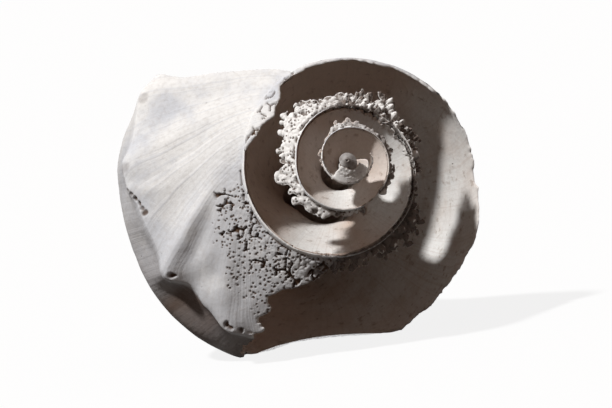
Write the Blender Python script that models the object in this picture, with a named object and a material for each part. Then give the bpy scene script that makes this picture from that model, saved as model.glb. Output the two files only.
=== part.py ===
"""A beach-worn knobbed whelk shell, one solid, lying on its back with the aperture up.

The shell is drawn in its own frame first: the coiling axis is Z, the apex is the origin and
the canal points down. A "turn" counts whorls: 0 at the outer lip, -1 one whorl earlier. The
lengths of a profile are shares of the shoulder radius, which grows by WHORL_GROWTH each turn.
The finished shell is then laid down with its lowest point on Z = 0.
"""

import bmesh
import bpy
from math import cos, exp, pi, radians, sin, sqrt
from mathutils import Matrix, Vector

# Driving dimensions
SHOULDER_RADIUS = 0.0572  # axis to shoulder at the outer lip, metres
WHORL_GROWTH = 1.93
LIP_AZIMUTH = radians(150.0)  # where the lip's shoulder stands, seen from the apex
SUTURE_LEAD = 0.10  # how far the lip runs ahead of itself at the suture, in turns
WALL_SHARE = 0.028  # wall thickness: this share of the radius
WALL_LEAST = 0.00045  # and this many metres more
CALLUS_SHARE = 0.004  # glaze laid over the whorl before: this share of the radius
CALLUS_LEAST = 0.00025  # and this many metres more
FLARE = 0.050  # the end of the last whorl widens this much more
FLARE_TURNS = 0.65  # over this many turns

# Pose: the shell lies on its worn back
AXIS_DROP = radians(18.75)  # how far the axis falls from the apex to the canal
ROLL = radians(-10.0)  # about the axis, to stand on the broken side
REST_FLAT = 0.0010  # worn away where it touches the ground, metres

# The outside of one whorl as (radius, height) shares: its roof, from the suture to the
# shoulder, then its side, from where the next whorl starts down to the canal
RAMP = ((0.534, -0.400), (0.690, -0.512), (0.855, -0.615), (1.000, -0.695))
SIDE = (
    (-0.772, 1.0306),
    (-0.87, 1.024),
    (-0.98, 1.008),
    (-1.10, 0.973),
    (-1.23, 0.912),
    (-1.37, 0.826),
    (-1.52, 0.720),
    (-1.68, 0.600),
    (-1.84, 0.482),
    (-2.00, 0.375),
    (-2.16, 0.280),
    (-2.34, 0.190),
    (-2.58, 0.095),
    (-3.20, 0.010),
)
SIDE_POINTS = 17
CANAL_END = -2.66 * SHOULDER_RADIUS
# The spindle round the axis that the canal is part of, as (height, radius) shares at the lip
SPINDLE = (
    (-2.66, 0.105),
    (-2.45, 0.138),
    (-2.15, 0.162),
    (-1.80, 0.160),
    (-1.30, 0.130),
    (-0.60, 0.080),
)
SPINDLE_BLEND = 0.10

# Chamber
SECTION_SIDES = (-0.772, -0.87, -0.98, -1.10, -1.23, -1.37, -1.52, -1.66)
CHAMBER_FLOOR = -1.72
COLUMELLA = 0.100
COLUMELLA_AT_LIP = 0.170
FIRST_TURN = -3.60  # the whorls before this are left solid
OPEN_TOP = 0.30  # how far the chamber's cut rises through a roof that is lost

# Canal groove: (height share, how deep its middle lies off the axis, its half width)
GROOVE = (
    (-1.35, 0.060, 0.100),
    (-1.60, 0.050, 0.110),
    (-1.90, 0.040, 0.115),
    (-2.25, 0.035, 0.110),
    (-2.75, 0.030, 0.085),
)
GROOVE_AZIMUTH = radians(85.0)
GROOVE_REACH = 0.6  # how far the cut runs out through the open side
GROOVE_STEPS = 8

# Knobs on the shoulder: (turn, how far each stands out as a share of the radius)
KNOBS = ((-0.008, 0.012), (-0.076, 0.035), (-0.160, 0.065), (-0.232, 0.072))
KNOB_WIDTH = 0.022  # in turns
KNOB_HEIGHT = 0.10

# Roof left standing beside the suture: (turn, radius share where it is broken off)
LEDGE = (
    (-5.00, 0.56),
    (-2.00, 0.57),
    (-1.84, 0.67),
    (-1.60, 0.58),
    (-1.35, 0.61),
    (-1.12, 0.70),
    (-0.94, 0.71),
    (-0.75, 0.63),
    (-0.56, 0.60),
    (-0.46, 0.68),
    (-0.31, 0.70),
)
ROOF_STARTS = -0.285  # the last whorl's roof is whole from here to the lip
REMNANT = (-1.05, -0.93, 0.87)  # outer strip of roof left: first turn, last turn, inner edge
# The broken rim of the last whorl's side: (turn, height share)
BROKEN_RIM = (
    (-0.720, -0.70),
    (-0.660, -0.76),
    (-0.600, -0.88),
    (-0.560, -0.80),
    (-0.520, -0.78),
    (-0.490, -0.90),
    (-0.440, -1.14),
    (-0.390, -1.32),
    (-0.340, -1.43),
    (-0.300, -1.40),
    (-0.262, -1.18),
)
RIM_INNER = 0.74  # the break cuts everything outside this radius share
BREAK_TOP = -0.25
BREAK_STEPS = 16

# The cut that shapes the lip, in shares of the shoulder radius
TRIM_LID = -0.20
TRIM_TOP = -0.43
TRIM_FOOT = -2.75
TRIM_REACH = 1.6
TRIM_ROWS = 12
TRIM_STEPS = 6
TRIM_PAST = 0.03  # beyond the end of the hull, in turns

HULL_COLUMNS = 50  # per turn
HULL_WHORLS = 5
CHAMBER_COLUMNS = 36
INNER_COLUMNS = 24
INNER_UNTIL = -2.01


def smooth(share):
    share = min(1.0, max(0.0, share))
    return share * share * (3.0 - 2.0 * share)


def between(table, at):
    """Straight-line reading of a table of (place, value) rows in rising order."""
    for (a, low), (b, high) in zip(table, table[1:]):
        if at <= b:
            share = max(0.0, (at - a) / (b - a))
            return low + (high - low) * share
    return table[-1][1]


def radius_at(turn):
    return SHOULDER_RADIUS * WHORL_GROWTH**turn


def placed(turn, radius, height):
    """The point at a turn, a distance from the axis and a height."""
    angle = LIP_AZIMUTH - 2.0 * pi * turn
    return Vector((radius * cos(angle), radius * sin(angle), height))


def swelling(turn, radius_share, height_share):
    """The flare towards the lip and the knobs, as a factor on the radius."""
    outward = smooth((radius_share - RAMP[0][0]) / (1.0 - RAMP[0][0]))
    if height_share < RAMP[-1][1]:
        outward = 1.0
    factor = 1.0 + FLARE * outward * smooth((turn + FLARE_TURNS) / FLARE_TURNS)
    for at, stand in KNOBS:
        across = (turn - at) / KNOB_WIDTH
        along = (height_share - RAMP[-1][1] + 0.03) / KNOB_HEIGHT
        factor += stand * exp(-across * across - along * along)
    return factor


def side_radius(turn, height, lifted=True):
    """Distance from the axis to the outside below the shoulder, at a height in metres."""
    scale = radius_at(turn)
    share = height / scale
    side = between(SIDE[::-1], share) * scale
    if lifted:
        side *= swelling(turn, 1.0, share)
    spindle = between(SPINDLE, height / SHOULDER_RADIUS) * SHOULDER_RADIUS
    soft = SPINDLE_BLEND * SHOULDER_RADIUS
    return 0.5 * (side + spindle + sqrt((side - spindle) ** 2 + soft * soft))


def ramp_point(turn, radius_share, height_share):
    scale = radius_at(turn)
    factor = swelling(turn, radius_share, height_share)
    return placed(turn, scale * radius_share * factor, scale * height_share)


def side_point(turn, step):
    """A point of the side, evenly spread from the next whorl's start to the canal's end."""
    top = radius_at(turn) * SIDE[0][0]
    height = top + (CANAL_END - top) * (step / (SIDE_POINTS - 1.0)) ** 1.15
    return placed(turn, side_radius(turn, height), height)


def make_hull(bm):
    """The outside with every chamber still full: a spiral of roofs, then the last whorl's side."""
    n = HULL_COLUMNS
    last = n * HULL_WHORLS
    turns = [SUTURE_LEAD - i / n for i in range(last + 1)]
    ramp = [[bm.verts.new(ramp_point(turn, r, z)) for r, z in RAMP] for turn in turns]
    side = []
    for turn in turns[: n + 1]:
        side.append([bm.verts.new(side_point(turn, k)) for k in range(1, SIDE_POINTS - 1)])
    start = [bm.verts.new(side_point(turn, 0)) for turn in turns[:n]] + [ramp[0][0]]
    end = [bm.verts.new(side_point(turn, SIDE_POINTS - 1)) for turn in turns[:n]]
    end.append(end[0])
    side = [[start[i]] + side[i] + [end[i]] for i in range(n + 1)]
    top = bm.verts.new((0.0, 0.0, 0.5 * radius_at(turns[-1]) * RAMP[0][1]))
    for i in range(last):
        here = ramp[i]
        back = ramp[i + 1]
        for k in range(len(RAMP) - 1):
            bm.faces.new((here[k], here[k + 1], back[k + 1], back[k]))
        if i < n:
            bm.faces.new((here[-1], side[i][0], side[i + 1][0], back[-1]))
        else:
            bm.faces.new((here[-1], ramp[i - n][0], ramp[i - n + 1][0], back[-1]))
        if i >= last - n:
            bm.faces.new((top, here[0], back[0]))
    bm.faces.new([top] + ramp[last] + [ramp[last - n][0]])
    for i in range(n):
        for k in range(SIDE_POINTS - 1):
            bm.faces.new((side[i][k], side[i][k + 1], side[i + 1][k + 1], side[i + 1][k]))
    bm.faces.new(ramp[0] + side[0] + side[n][1:-1][::-1])
    bm.faces.new(end[:n])


def ramp_height(share):
    return between(RAMP, share)


def chamber_section(turn):
    """The closed section of the chamber at a turn, as (radius, height) shares."""
    wall = WALL_SHARE + WALL_LEAST / radius_at(turn)
    callus = CALLUS_SHARE + CALLUS_LEAST / radius_at(turn)
    under = min(0.9 * wall + 0.012, 0.075)
    inner = RAMP[0][0] + callus
    outer = 1.0 - wall
    inner_end = max(between(LEDGE, turn), inner + 0.01)
    outer_end = outer
    if REMNANT[0] < turn < REMNANT[1]:
        outer_end = REMNANT[2]
    closed = smooth((turn - ROOF_STARTS) / 0.03)
    inner_end += (0.76 - inner_end) * closed
    outer_end += (0.80 - outer_end) * closed
    lift = OPEN_TOP - closed * (OPEN_TOP + 0.01 + under)
    section = [
        (inner, ramp_height(inner) - under - 0.01),
        (inner_end, ramp_height(inner_end) - under),
        (inner_end + 0.001, ramp_height(inner_end) + lift),
        (outer_end, ramp_height(outer_end) + lift),
        (outer_end + 0.001, ramp_height(outer_end) - under),
        (outer, ramp_height(1.0) - under),
    ]
    for height in SECTION_SIDES:
        section.append((between(SIDE[::-1], height) - wall, height))
    columella = COLUMELLA + (COLUMELLA_AT_LIP - COLUMELLA) * smooth((turn + 0.2) / 0.25)
    section.append((columella + 0.16, CHAMBER_FLOOR))
    section.append((columella, CHAMBER_FLOOR))
    section.append((columella, -1.30))
    roof_foot = section[0][1]
    for height in (-1.37, -1.23, -1.10, 0.5 * (roof_foot * WHORL_GROWTH - 1.10)):
        radius = between(SIDE[::-1], height) / WHORL_GROWTH
        section.append((max(columella + 0.004, radius + callus), height / WHORL_GROWTH))
    return section


def loft(bm, rings):
    """A closed skin over rings of equally many points."""
    count = len(rings[0])
    for a, b in zip(rings, rings[1:]):
        for k in range(count):
            bm.faces.new((a[k], a[(k + 1) % count], b[(k + 1) % count], b[k]))
    bm.faces.new(rings[0])
    bm.faces.new(rings[-1])


def sheet(bm, rows):
    """A skin over rows of equally many points, open at its edges."""
    for a, b in zip(rows, rows[1:]):
        for k in range(len(a) - 1):
            bm.faces.new((a[k], a[k + 1], b[k + 1], b[k]))


def make_chamber(bm):
    turns = []
    turn = FIRST_TURN
    while turn < SUTURE_LEAD + 0.012:
        turns.append(turn)
        turn += 1.0 / (INNER_COLUMNS if turn < INNER_UNTIL else CHAMBER_COLUMNS)
    turns.append(SUTURE_LEAD + 0.012)
    rings = []
    for turn in turns:
        scale = radius_at(turn)
        flare = 1.0 + FLARE * smooth((turn + FLARE_TURNS) / FLARE_TURNS)
        ring = []
        for r, z in chamber_section(turn):
            wide = 1.0 + (flare - 1.0) * smooth((r - 0.6) / 0.4)
            ring.append(bm.verts.new(placed(turn, scale * r * wide, scale * z)))
        rings.append(ring)
    loft(bm, rings)


def make_break(bm):
    """What is lost of the last whorl's side and shoulder, behind the whole part of the roof."""
    rings = []
    for i in range(BREAK_STEPS + 1):
        turn = BROKEN_RIM[0][0] + (BROKEN_RIM[-1][0] - BROKEN_RIM[0][0]) * i / BREAK_STEPS
        scale = radius_at(turn)
        rim = between(BROKEN_RIM, turn)
        section = (
            (RIM_INNER, BREAK_TOP),
            (TRIM_REACH, BREAK_TOP),
            (TRIM_REACH, rim),
            (RIM_INNER, rim),
        )
        rings.append([bm.verts.new(placed(turn, scale * r, scale * z)) for r, z in section])
    loft(bm, rings)


def lip_turn(height_share):
    """The growth line: where the lip ends at a height, in turns."""
    if height_share > RAMP[-1][1]:
        return SUTURE_LEAD * smooth((height_share - RAMP[-1][1]) / (RAMP[0][1] - RAMP[-1][1]))
    return -0.04 * smooth((-height_share - 1.2) / 1.2)


def make_lip_trim(bm):
    """All that stands beyond the growth line of the lip, down to the whorl before."""
    rings = []
    for i in range(TRIM_STEPS + 1):
        ring = []
        for k in range(TRIM_ROWS):
            height_share = TRIM_TOP + (TRIM_FOOT - TRIM_TOP) * k / (TRIM_ROWS - 1.0)
            start = lip_turn(height_share)
            turn = start + (SUTURE_LEAD + TRIM_PAST - start) * i / TRIM_STEPS
            ring.append((turn, height_share * SHOULDER_RADIUS))
        rings.append(ring)
    reach = TRIM_REACH * SHOULDER_RADIUS
    lid = TRIM_LID * SHOULDER_RADIUS
    inner = []
    outer = []
    for ring in rings:
        inside = []
        outside = []
        for turn, height in ring:
            low = side_radius(turn - 1.0, height, False)
            low = low + CALLUS_LEAST + CALLUS_SHARE * SHOULDER_RADIUS
            inside.append(bm.verts.new(placed(turn, low, height)))
            outside.append(bm.verts.new(placed(turn, reach, height)))
        turn = ring[0][0]
        inside.insert(0, bm.verts.new(placed(turn, (RAMP[0][0] + 0.01) * radius_at(turn), lid)))
        outside.insert(0, bm.verts.new(placed(turn, reach, lid)))
        inner.append(inside)
        outer.append(outside)
    sheet(bm, inner)
    sheet(bm, outer)
    sheet(bm, [inner[0], outer[0]])
    sheet(bm, [inner[-1], outer[-1]])
    sheet(bm, [[row[0] for row in inner], [row[0] for row in outer]])
    sheet(bm, [[row[-1] for row in inner], [row[-1] for row in outer]])


def make_groove(bm):
    """The siphonal canal: a U-shaped trough along the axis, open towards the aperture."""
    out = Vector((cos(GROOVE_AZIMUTH), sin(GROOVE_AZIMUTH), 0.0))
    across = Vector((-out.y, out.x, 0.0))
    rings = []
    for height, middle, half in GROOVE:
        ring = []
        for k in range(GROOVE_STEPS + 1):
            angle = pi * k / GROOVE_STEPS
            point = out * (middle - half * sin(angle)) + across * half * cos(angle)
            ring.append(point)
        ring.append(out * GROOVE_REACH - across * half * 1.5)
        ring.append(out * GROOVE_REACH + across * half * 1.5)
        level = Vector((0.0, 0.0, height))
        rings.append([bm.verts.new((point + level) * SHOULDER_RADIUS) for point in ring])
    loft(bm, rings)


def mesh_object(name, maker, collection):
    mesh = bpy.data.meshes.new(name)
    bm = bmesh.new()
    maker(bm)
    bmesh.ops.recalc_face_normals(bm, faces=bm.faces)
    bm.to_mesh(mesh)
    bm.free()
    thing = bpy.data.objects.new(name, mesh)
    collection.objects.link(thing)
    return thing


def cut_away(thing, cutter, solver="EXACT"):
    cutter.hide_render = True
    cutter.display_type = "WIRE"
    cut = thing.modifiers.new(cutter.name, "BOOLEAN")
    cut.operation = "DIFFERENCE"
    cut.solver = solver
    cut.object = cutter


def lay_down(shell):
    """Turns the shell on its back, its apex towards -Y, and centres it over the origin."""
    upright_to_lying = Matrix.Rotation(radians(90.0) - AXIS_DROP, 4, "X")
    turned = upright_to_lying @ Matrix.Rotation(ROLL, 4, "Z")
    depsgraph = bpy.context.evaluated_depsgraph_get()
    finished = shell.evaluated_get(depsgraph)
    corners = [turned @ vertex.co for vertex in finished.to_mesh().vertices]
    finished.to_mesh_clear()
    low = [min(corner[axis] for corner in corners) for axis in range(3)]
    high = [max(corner[axis] for corner in corners) for axis in range(3)]
    middle = Vector(((low[0] + high[0]) / 2.0, (low[1] + high[1]) / 2.0, low[2] + REST_FLAT))
    shell.matrix_world = Matrix.Translation(-middle) @ turned
    return shell.matrix_world


def make_ground(collection):
    """What lies under Z = 0, which takes the worn flat off the shell's back."""
    size = 6.0 * SHOULDER_RADIUS
    bpy.ops.mesh.primitive_cube_add(size=size, location=(0.0, 0.0, -size / 2.0))
    ground = bpy.context.active_object
    ground.name = "ground_cutter"
    for home in list(ground.users_collection):
        home.objects.unlink(ground)
    collection.objects.link(ground)
    return ground


def shell_material():
    material = bpy.data.materials.new("worn_shell")
    material.use_nodes = True
    shader = material.node_tree.nodes["Principled BSDF"]
    shader.inputs["Base Color"].default_value = (0.66, 0.64, 0.60, 1.0)
    shader.inputs["Roughness"].default_value = 0.75
    shader.inputs["Metallic"].default_value = 0.0
    return material


def main():
    for thing in list(bpy.data.objects):
        bpy.data.objects.remove(thing)
    parts = bpy.data.collections.new("whelk_shell")
    cutters = bpy.data.collections.new("cutters")
    bpy.context.scene.collection.children.link(parts)
    bpy.context.scene.collection.children.link(cutters)
    shell = mesh_object("shell", make_hull, parts)
    hollows = []
    for name, maker in (
        ("chamber_cutter", make_chamber),
        ("broken_rim", make_break),
        ("lip_trim", make_lip_trim),
        ("canal_groove", make_groove),
    ):
        hollow = mesh_object(name, maker, cutters)
        cut_away(shell, hollow)
        hollows.append(hollow)
    lying = lay_down(shell)
    for hollow in hollows:
        hollow.matrix_world = lying
    # The ground only grazes the shell, and the exact solver loses the shell there
    cut_away(shell, make_ground(cutters), "MANIFOLD")
    shell.data.materials.append(shell_material())
    shell.data.shade_smooth()
    shell.data.set_sharp_from_angle(angle=radians(40.0))


main()
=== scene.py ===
"""A beach-worn knobbed whelk shell: the visual model, its stage, light and camera.

Everything is drawn in the shell's own frame and then laid down as the part is. The coiling axis
is Z, the apex is the origin and the canal points down. A "turn" counts whorls: 0 at the outer
lip, -1 one whorl earlier. Radii and heights on a profile, called r and z, are shares of the
shoulder radius, which grows by GROWTH each turn. Other lengths are in metres.

A pair named ..._FROM, ..._BEYOND or ..._ABOVE is the place where something starts and how much
further on it is full. One named ..._TO, ..._BEFORE, ..._WITHIN or ..._BELOW is the place where
it ends and how much short of there it is still full. A noise is given as its height, size,
octaves and seed, or as many of these as its function takes.
"""

from itertools import product
from math import pi, radians

import bpy
import numpy as np
from mathutils import Matrix, Vector


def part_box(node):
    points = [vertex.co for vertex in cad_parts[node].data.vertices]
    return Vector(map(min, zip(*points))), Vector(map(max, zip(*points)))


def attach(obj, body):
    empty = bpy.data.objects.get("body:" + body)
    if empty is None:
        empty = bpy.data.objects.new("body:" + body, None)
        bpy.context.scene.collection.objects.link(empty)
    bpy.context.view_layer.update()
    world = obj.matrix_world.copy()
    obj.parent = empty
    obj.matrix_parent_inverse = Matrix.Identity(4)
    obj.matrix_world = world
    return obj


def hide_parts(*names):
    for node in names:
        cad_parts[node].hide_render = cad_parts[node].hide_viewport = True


# The shell's spiral and how it lies, as in the part
SHOULDER_RADIUS = 0.0572
GROWTH = 1.93
LIP_AZIMUTH = radians(150.0)
AXIS_DROP = radians(18.75)
ROLL = radians(-10.0)
APEX = (0.00976, -0.07339, 0.0549)
CANAL_END = -2.655 * SHOULDER_RADIUS
# How much wider the shell gets over its last turns
FLARE = 0.015
FLARE_TURNS = 0.65
# How far the last side wall stands out below the shoulder, and how much of it the lip loses
SIDE_FLARE = 0.055
SIDE_FLARE_FROM = (-0.6, 0.25)
SIDE_FLARE_DROP = 0.4
SIDE_FLARE_LOST = 0.9
SIDE_FLARE_LOST_FROM = (-0.05, 0.07)
# How much faster the walls of the earlier whorls narrow below the shoulder
TAPER = 0.09
TAPER_BELOW = (-0.74, 0.4)
TAPER_BEFORE = (-0.4, 0.12)
# How far the chambers behind the last whorl close in towards the columella
FUNNEL = 0.42
FUNNEL_BELOW = (-0.82, 0.8)
FUNNEL_BEFORE = (-1.04, 0.14)
# How far the first turns have drifted from the axis, in metres
DRIFT = (-1.5e-3, -1.1e-3, -2.0e-3)
DRIFT_BEFORE = (-2.85, 1.3)

# Profiles: the roof as (radius, height) shares, the side as (height, radius) shares
SUTURE_R = 0.521
SHOULDER_Z = -0.706
ROOF = (
    (0.49, -0.372), (SUTURE_R, -0.391), (0.69, -0.508), (0.855, -0.612), (0.955, -0.672),
    (1.0, SHOULDER_Z),
)
SIDE = (
    (-0.772, 1.006), (-0.87, 1.008), (-0.98, 0.998), (-1.1, 0.968), (-1.23, 0.912),
    (-1.37, 0.826), (-1.52, 0.72), (-1.68, 0.6), (-1.84, 0.482), (-2.0, 0.375), (-2.16, 0.28),
    (-2.34, 0.19), (-2.58, 0.095), (-3.2, 0.01), (-6.0, 0.004),
)
PROFILE_SOFTNESS = 0.016
PROFILE_COUNT = 4000
# The spindle that the whorls are wound round: (height, radius) shares
SPINDLE = (
    (-2.66, 0.105), (-2.45, 0.138), (-2.15, 0.162), (-1.8, 0.17), (-1.55, 0.192), (-1.3, 0.205),
    (-1.05, 0.19), (-0.85, 0.155), (-0.6, 0.112), (-0.38, 0.065), (-0.2, 0.02), (0.0, 0.001),
)
SPINDLE_SOFTNESS = 0.06
SPINDLE_BLEND = 0.1
SPINDLE_FADE = 0.3
# How far the lip is ahead, in turns: (height share, turns)
LIP = (
    (-1.6, 0.0), (-1.0, 0.012), (-0.85, 0.008), (-0.76, 0.005), (-0.7, 0.006), (-0.615, 0.024),
    (-0.536, 0.047), (-0.459, 0.077), (-0.4, 0.1),
)
# How much further it stands below the shoulder, in turns
LIP_OUT = 0.01
LIP_OUT_BELOW = (-0.64, 0.08)
LIP_OUT_ABOVE = (-1.3, 0.3)
# The canal: where it starts, how far growth lines fall back and the lip wraps over it, in
# turns, and how much the wrapped part turns inwards
CANAL_Z = -1.2
CANAL_LAG = 0.04
CANAL_LAG_BELOW = (CANAL_Z, 1.2)
CANAL_WRAP = 0.15
CANAL_WRAP_BELOW = (-1.7, 0.45)
WRAP_INWARDS = 2.0
# Its groove as (height, depth) shares, the groove's turn and its width as an angle
GROOVE = ((-2.75, 0.085), (-2.25, 0.11), (-1.9, 0.115), (-1.6, 0.1), (-1.25, 0.0))
GROOVE_TURN = -0.82
GROOVE_ANGLE = 0.32

# Knobs on the shoulder: (turn, how far each stands out, width in turns, height in shares)
KNOB_Z = -0.676
KNOBS = (
    (-0.01, 0.018, 0.016, 0.1), (-0.07, 0.043, 0.014, 0.09), (-0.087, 0.03, 0.008, 0.08),
    (-0.165, 0.024, 0.01, 0.09), (-0.185, -0.032, 0.013, 0.09), (-0.234, 0.026, 0.012, 0.09),
)
# How far each turn stands out of the even spiral, as a factor on its shoulder radius
WANDER = (
    (-3.2, 1.0), (-3.03, 1.03), (-2.94, 1.05), (-2.81, 1.03), (-2.68, 1.04), (-2.58, 1.01),
    (-2.46, 0.99), (-2.35, 1.05), (-2.25, 1.05), (-2.17, 1.04), (-2.065, 0.965), (-1.917, 1.0),
    (-1.81, 1.005), (-1.72, 0.962), (-1.634, 0.955), (-1.575, 0.94), (-1.438, 0.945),
    (-1.303, 0.995), (-1.244, 1.02), (-1.166, 1.0), (-1.12, 0.985), (-1.06, 0.96),
    (-0.98, 0.98), (-0.93, 1.0), (-0.88, 1.022), (-0.8, 1.026), (-0.72, 1.038), (-0.66, 1.045),
    (-0.6, 1.035), (-0.54, 1.015), (-0.5, 1.0), (-0.13, 1.0), (-0.07, 1.02), (-0.03, 1.025),
    (0.0, 1.015), (0.02, 1.0),
)
# The side below the last knobs bulges low down and is hollow just under the shoulder:
# (turn, height share, how far it stands out, width in turns, height in shares)
SIDE_SWELLS = (
    (-0.19, -1.08, 0.036, 0.075, 0.25), (-0.205, -0.84, -0.062, 0.045, 0.12),
)
# Painted shadow: how dark the side is below the shoulder, by turn, darkest under the last knobs
# where the shoulder's shadow falls
SIDE_PAINTED_SHADOW = (
    (-0.42, 0.3), (-0.25, 0.72), (-0.18, 0.78), (-0.155, 0.35), (-0.08, 0.12), (0.0, 0.0),
)
# Folds along growth lines: (growth line, how high in metres, how wide in turns)
FOLDS = (
    (-0.014, 0.5e-3, 0.01), (-0.04, -0.3e-3, 0.012), (-0.07, 0.6e-3, 0.012),
    (-0.096, -0.25e-3, 0.01), (-0.136, -0.7e-3, 0.016), (-0.166, 1.5e-3, 0.011),
    (-0.186, -0.9e-3, 0.014), (-0.232, 1.0e-3, 0.014),
)
FOLDS_ABOVE = (-1.1, 0.3)
FOLDS_BEYOND = (0.6, 0.22)

# Roof left standing beside the suture: (turn, radius share where it is broken off)
LEDGE = (
    (-4.4, 1.2), (-4.36, 0.5), (-3.545, 0.5), (-3.53, 1.2), (-3.215, 1.2),
    (-3.19, 0.5), (-2.64, 0.5), (-2.58, 0.56), (-2.42, 0.56), (-2.3, 0.585), (-2.13, 0.575),
    (-2.02, 0.548), (-1.93, 0.56), (-1.889, 0.68), (-1.837, 0.694), (-1.79, 0.642),
    (-1.743, 0.599), (-1.687, 0.64), (-1.637, 0.625), (-1.588, 0.595), (-1.5, 0.605),
    (-1.462, 0.605), (-1.452, 0.5), (-1.395, 0.5), (-1.385, 0.596), (-1.32, 0.607),
    (-1.264, 0.623), (-1.219, 0.666), (-1.177, 0.66), (-1.138, 0.672), (-1.107, 0.722),
    (-1.087, 0.665), (-1.05, 0.654), (-1.008, 0.678), (-0.972, 0.745), (-0.916, 0.737),
    (-0.873, 0.665), (-0.835, 0.684), (-0.785, 0.695), (-0.734, 0.7), (-0.679, 0.655),
    (-0.622, 0.619), (-0.584, 0.619), (-0.546, 0.575), (-0.51, 0.625), (-0.493, 0.699),
    (-0.441, 0.655), (-0.367, 0.61), (-0.33, 0.6),
)
# The broken edge of the roof: (radius share, turn)
FRACTURE = (
    (0.5, -0.33), (0.56, -0.32), (0.6, -0.303), (0.65, -0.29), (0.69, -0.275), (0.71, -0.263),
    (0.753, -0.251), (0.78, -0.246), (0.835, -0.253), (0.886, -0.2486), (0.918, -0.2486),
    (0.952, -0.256), (0.975, -0.249), (1.0, -0.253),
)
# A scrap of roof left along the shoulder: (turn, radius share where it starts)
SCRAP = (
    (-1.066, 1.2), (-1.052, 1.0), (-1.028, 0.915), (-1.0, 0.885), (-0.972, 0.83),
    (-0.943, 0.885), (-0.93, 0.95), (-0.912, 0.972), (-0.84, 0.978), (-0.74, 0.974),
    (-0.68, 0.985), (-0.65, 1.2),
)
# The rim of the side wall where the roof is gone: (turn, height share)
RIM = (
    (-4.4, -0.69), (-4.32, -1.7), (-3.7, -1.7), (-3.59, -0.69), (-2.5, -0.7),
    (-2.45, -0.86), (-2.4, -0.86), (-2.37, -0.72), (-2.2, -0.72), (-2.1, -0.69), (-1.92, -0.69),
    (-1.86, -0.755), (-1.64, -0.755), (-1.56, -0.79), (-1.36, -0.8), (-1.27, -0.7),
    (-0.73, -0.7), (-0.69, -0.735), (-0.64, -0.79), (-0.6, -0.88), (-0.56, -0.81),
    (-0.52, -0.79), (-0.49, -0.9), (-0.44, -1.14), (-0.39, -1.32), (-0.34, -1.43), (-0.3, -1.4),
    (-0.262, -1.18),
)
# How rough the broken edges are: the rim by turn, as a height share, the ledge and the scrap
# as radius shares, the fracture and the lip in turns, and their noises
RIM_ROUGHNESS = (
    (-4.9, 0.01), (-1.1, 0.012), (-0.95, 0.03), (-0.72, 0.035), (-0.66, 0.05),
)
RIM_FINE = 0.4
LEDGE_ROUGH = 0.025
LEDGE_FINE = 0.01
SCRAP_ROUGH = 0.04
FRACTURE_ROUGH = 0.009
FRACTURE_FINE = 0.003
LIP_ROUGH = 0.002
RAGGED = (3.6e-3, 4, 5)
FINE_RAGGED = (1.1e-3, 2, 9)
# How far the ledge follows the crust's lumps at its edge, as radius shares
SCALLOP_UNEVEN = 0.1
SCALLOP_ROUND = 0.09
SCALLOP_MIDDLE = 0.45

# The crust beside the suture: (turn, how lumpy from 0 to 1)
LUMPY = (
    (-3.6, 0.0), (-3.4, 0.4), (-3.1, 0.3), (-2.6, 0.6), (-2.2, 1.0), (-1.95, 0.7),
    (-1.2, 0.9), (-0.9, 0.9), (-0.7, 1.0), (-0.3, 0.9), (-0.24, 0.45), (-0.06, 0.25),
    (0.02, 0.0),
)
# How far out the crust goes, as radius shares: beside the broken part and on the roof
CRUST_REACH = (0.84, 0.66)
CRUST_REACH_FROM = (-0.34, 0.05)
CRUST_FADE = 0.08
# Its lumps: (size in metres, seed), how they are pushed about, and how fine they were early on
LUMP_CELLS = (1.75e-3, 43)
LUMP_PUSH = (0.5e-3, 1.6e-3, 71)
LUMPS_FINER = 0.65
LUMPS_FINER_BEFORE = -1.25
# How high they are, how unevenly so, and how wide, in shares, and deep the gaps between are
LUMP_ROUND = 0.75e-3
LUMP_UNEVEN = 0.4e-3
LUMP_GAP = 0.3
LUMP_GAP_DEPTH = 0.3e-3
# The share of its lumps still there: (turn, share)
LUMPS_LEFT = (
    (-2.4, 0.9), (-2.15, 0.6), (-1.95, 0.5), (-1.88, 0.75), (-1.74, 0.7), (-1.66, 0.25),
    (-1.52, 0.3), (-1.5, 0.95), (-1.455, 0.95), (-1.44, 0.4), (-1.38, 0.45), (-1.28, 0.75),
    (-1.2, 0.95), (-0.97, 0.95), (-0.88, 0.65), (-0.8, 0.5), (-0.66, 0.5), (-0.56, 0.35),
    (-0.5, 0.2), (-0.33, 0.25), (-0.3, 0.7), (-0.26, 1.0),
)
LUMPS_FADE = 0.03
# How deep the hollows of the missing lumps are, in metres, by turn
HOLLOW_DEPTH = (
    (-3.1, 0.2e-3), (-2.0, 0.5e-3), (-1.2, 0.9e-3), (-0.9, 1.2e-3), (-0.5, 1.7e-3),
    (-0.3, 1.2e-3),
)
HOLLOW_SLOPE = 0.1
# How far the lumps stand out, as a factor, by turn
LUMP_HEIGHT = (
    (-3.0, 0.6), (-1.5, 0.7), (-1.25, 0.45), (-0.93, 0.4), (-0.86, 1.0), (-0.82, 2.4),
    (-0.76, 2.8), (-0.68, 2.6), (-0.62, 1.6), (-0.55, 1.3), (-0.35, 1.2), (-0.25, 0.5),
)
# How far the crust has sunk, in metres, by turn
SAG = (
    (-1.5, 0.0), (-1.38, 0.6e-3), (-1.22, 0.5e-3), (-1.1, 0.0), (-0.74, 0.0), (-0.6, 1.2e-3),
    (-0.42, 1.5e-3), (-0.3, 0.3e-3), (-0.26, 0.0),
)
SUNK_BEYOND = (0.505, 0.05)
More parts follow.
